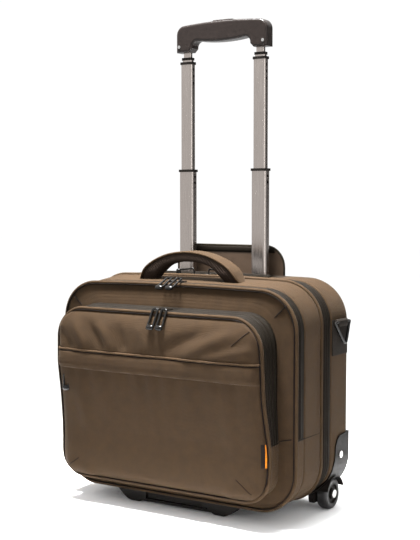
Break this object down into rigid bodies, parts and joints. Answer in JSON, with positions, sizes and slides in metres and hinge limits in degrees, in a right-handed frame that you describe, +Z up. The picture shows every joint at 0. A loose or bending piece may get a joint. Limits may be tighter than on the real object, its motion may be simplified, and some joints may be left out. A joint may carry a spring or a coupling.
{
  "type": "rolling laptop case",
  "caption": "Soft-sided wheeled laptop case with padded zipped compartments, a carry handle and a telescopic twin-tube trolley handle.",
  "frame": {"origin": "middle of the footprint on the floor", "axes": "+Z up, +Y towards the wheels and the trolley handle, +X to the case's right as seen from the front"},
  "size_m": [0.4402, 0.2309, 0.758],
  "materials": {
    "shell_fabric": "dark brown ballistic polyester weave",
    "zip_tape": "black woven zip tape",
    "piping": "piping cord covered in the brown shell fabric",
    "gusset_fabric": "black woven gusset",
    "lining": "dark woven lining",
    "black_plastic": "moulded black nylon, fine spark texture",
    "gloss_black": "gloss black coated zip pulls",
    "tube_aluminium": "satin anodised drawn aluminium",
    "board": "hard polyethylene board",
    "steel": "zinc plated steel",
    "tyre": "dark polyurethane",
    "webbing": "ribbed black webbing",
    "handle_twill": "dark ribbed twill",
    "tag": "woven tag with an orange edge"
  },
  "bodies": {
    "case": {"rear_shell": "shell_fabric", "rear_zip_band": "zip_tape", "back_board": "board", "flap_zip_track": "zip_tape", "corner_guard_left": "black_plastic", "corner_guard_right": "black_plastic", "guard_screws": "steel", "wheel_axles": "steel", "ring_tabs": "webbing", "fixed_tubes": "tube_aluminium", "well_plate": "black_plastic", "tube_foot_bracket": "black_plastic"},
    "middle": {"mid_shell": "shell_fabric", "mid_zip_tape": "zip_tape", "main_piping": "piping", "front_skid": "black_plastic"},
    "organiser": {"organiser_panel": "shell_fabric", "mid_piping": "piping", "front_gusset": "gusset_fabric"},
    "front_lid": {"front_panel": "shell_fabric", "front_piping": "piping", "front_band": "shell_fabric", "side_tag": "tag"},
    "carry_handle": {"carry_strap": "shell_fabric", "carry_grip": "handle_twill"},
    "stage_1": {"tubes_1": "tube_aluminium", "collars_1": "black_plastic"},
    "stage_2": {"tubes_2": "tube_aluminium", "collars_2": "black_plastic", "catches_2": "black_plastic"},
    "stage_3": {"tubes_3": "tube_aluminium", "collars_3": "black_plastic", "catches_3": "black_plastic"},
    "grip": {"grip_stems": "tube_aluminium", "grip_front": "black_plastic", "grip_back": "black_plastic", "grip_screws": "steel"},
    "button": {"release_button": "black_plastic", "release_yoke": "black_plastic"},
    "flap": {"well_flap": "lining"},
    "wheel_left": {"tyre_left": "tyre", "wheel_hub_left": "black_plastic"},
    "wheel_right": {"tyre_right": "tyre", "wheel_hub_right": "black_plastic"},
    "ring_left": {"strap_ring_left": "gloss_black"},
    "ring_right": {"strap_ring_right": "gloss_black"},
    "slide_front_left": {"slider_front_left": "gloss_black"},
    "pull_front_left": {"pull_front_left": "gloss_black"},
    "slide_front_right": {"slider_front_right": "gloss_black"},
    "pull_front_right": {"pull_front_right": "gloss_black"},
    "slide_mid_left": {"slider_mid_left": "gloss_black"},
    "pull_mid_left": {"pull_mid_left": "gloss_black"},
    "slide_mid_right": {"slider_mid_right": "gloss_black"},
    "pull_mid_right": {"pull_mid_right": "gloss_black"},
    "slide_main_left": {"slider_main_left": "gloss_black"},
    "pull_main_left": {"pull_main_left": "gloss_black"},
    "slide_main_right": {"slider_main_right": "gloss_black"},
    "pull_main_right": {"pull_main_right": "gloss_black"},
    "slide_pocket": {"slider_pocket": "gloss_black"},
    "pull_pocket": {"pull_pocket": "gloss_black"}
  },
  "joints": [
    {"name": "main_lid", "type": "hinge", "parent": "case", "child": "middle", "pos_m": [0, 0.02815, 0.0209], "axis": [1, 0, 0], "range_deg": [0, 60]},
    {"name": "middle_lid", "type": "hinge", "parent": "middle", "child": "organiser", "pos_m": [0, -0.04785, 0.0209], "axis": [1, 0, 0], "range_deg": [0, 35]},
    {"name": "front_lid", "type": "hinge", "parent": "organiser", "child": "front_lid", "pos_m": [0, -0.08132, 0.04143], "axis": [1, 0, 0], "range_deg": [0, 35]},
    {"name": "carry_handle_tilt", "type": "hinge", "parent": "middle", "child": "carry_handle", "pos_m": [0, -0.003, 0.3496], "axis": [1, 0, 0], "range_deg": [-20, 20]},
    {"name": "stage_1_slide", "type": "slide", "parent": "case", "child": "stage_1", "axis": [0, 0, 1], "range_m": [-0.229, 0]},
    {"name": "stage_2_slide", "type": "slide", "parent": "stage_1", "child": "stage_2", "axis": [0, 0, 1], "range_m": [-0.168, 0]},
    {"name": "stage_3_slide", "type": "slide", "parent": "stage_2", "child": "stage_3", "axis": [0, 0, 1], "range_m": [-0.001, 0.15]},
    {"name": "grip_slide", "type": "slide", "parent": "stage_3", "child": "grip", "axis": [0, 0, 1], "range_m": [-0.006, 0.14]},
    {"name": "button_press", "type": "slide", "parent": "grip", "child": "button", "axis": [0, 0, -1], "range_m": [0, 0.003], "stiffness_N_per_m": 800, "springref_m": -0.003},
    {"name": "flap_hinge", "type": "hinge", "parent": "case", "child": "flap", "pos_m": [0, 0.1116, 0.3513], "axis": [1, 0, 0], "range_deg": [-85, 10]},
    {"name": "wheel_left_spin", "type": "hinge", "parent": "case", "child": "wheel_left", "pos_m": [-0.195, 0.081, 0.024], "axis": [1, 0, 0], "continuous": true},
    {"name": "ring_left_swing", "type": "hinge", "parent": "case", "child": "ring_left", "pos_m": [-0.2165, 0.084, 0.288], "axis": [0, 1, 0], "range_deg": [0, 95]},
    {"name": "wheel_right_spin", "type": "hinge", "parent": "case", "child": "wheel_right", "pos_m": [0.195, 0.081, 0.024], "axis": [1, 0, 0], "continuous": true},
    {"name": "ring_right_swing", "type": "hinge", "parent": "case", "child": "ring_right", "pos_m": [0.2165, 0.084, 0.288], "axis": [0, -1, 0], "range_deg": [0, 95]},
    {"name": "slide_front_left", "type": "slide", "parent": "front_lid", "child": "slide_front_left", "axis": [-1, 0, 0], "range_m": [0, 0.105]},
    {"name": "slide_front_right", "type": "slide", "parent": "front_lid", "child": "slide_front_right", "axis": [1, 0, 0], "range_m": [0, 0.105]},
    {"name": "slide_mid_left", "type": "slide", "parent": "organiser", "child": "slide_mid_left", "axis": [-1, 0, 0], "range_m": [0, 0.125]},
    {"name": "slide_mid_right", "type": "slide", "parent": "organiser", "child": "slide_mid_right", "axis": [1, 0, 0], "range_m": [0, 0.125]},
    {"name": "slide_main_left", "type": "slide", "parent": "middle", "child": "slide_main_left", "axis": [-1, 0, 0], "range_m": [0, 0.12]},
    {"name": "slide_main_right", "type": "slide", "parent": "middle", "child": "slide_main_right", "axis": [1, 0, 0], "range_m": [0, 0.12]},
    {"name": "slide_pocket", "type": "slide", "parent": "front_lid", "child": "slide_pocket", "axis": [1, 0, 0], "range_m": [0, 0.31]},
    {"name": "pull_front_left_swing", "type": "hinge", "parent": "slide_front_left", "child": "pull_front_left", "pos_m": [0.003, -0.1005, 0.3115], "axis": [1, 0, 0], "range_deg": [-110, 0]},
    {"name": "pull_front_right_swing", "type": "hinge", "parent": "slide_front_right", "child": "pull_front_right", "pos_m": [0.019, -0.1005, 0.3115], "axis": [1, 0, 0], "range_deg": [-110, 0]},
    {"name": "pull_mid_left_swing", "type": "hinge", "parent": "slide_mid_left", "child": "pull_mid_left", "pos_m": [-0.01, -0.0475, 0.3492], "axis": [1, 0, 0], "range_deg": [-100, 0]},
    {"name": "pull_mid_right_swing", "type": "hinge", "parent": "slide_mid_right", "child": "pull_mid_right", "pos_m": [0.008, -0.0475, 0.3492], "axis": [1, 0, 0], "range_deg": [-100, 0]},
    {"name": "pull_main_left_swing", "type": "hinge", "parent": "slide_main_left", "child": "pull_main_left", "pos_m": [-0.022, 0.037, 0.3545], "axis": [0, 1, 0], "range_deg": [0, 120]},
    {"name": "pull_main_right_swing", "type": "hinge", "parent": "slide_main_right", "child": "pull_main_right", "pos_m": [0.006, 0.037, 0.3545], "axis": [0, -1, 0], "range_deg": [0, 120]},
    {"name": "pull_pocket_swing", "type": "hinge", "parent": "slide_pocket", "child": "pull_pocket", "pos_m": [-0.164, -0.1079, 0.20117], "axis": [1, 0, 0], "range_deg": [-95, 0]}
  ]
}
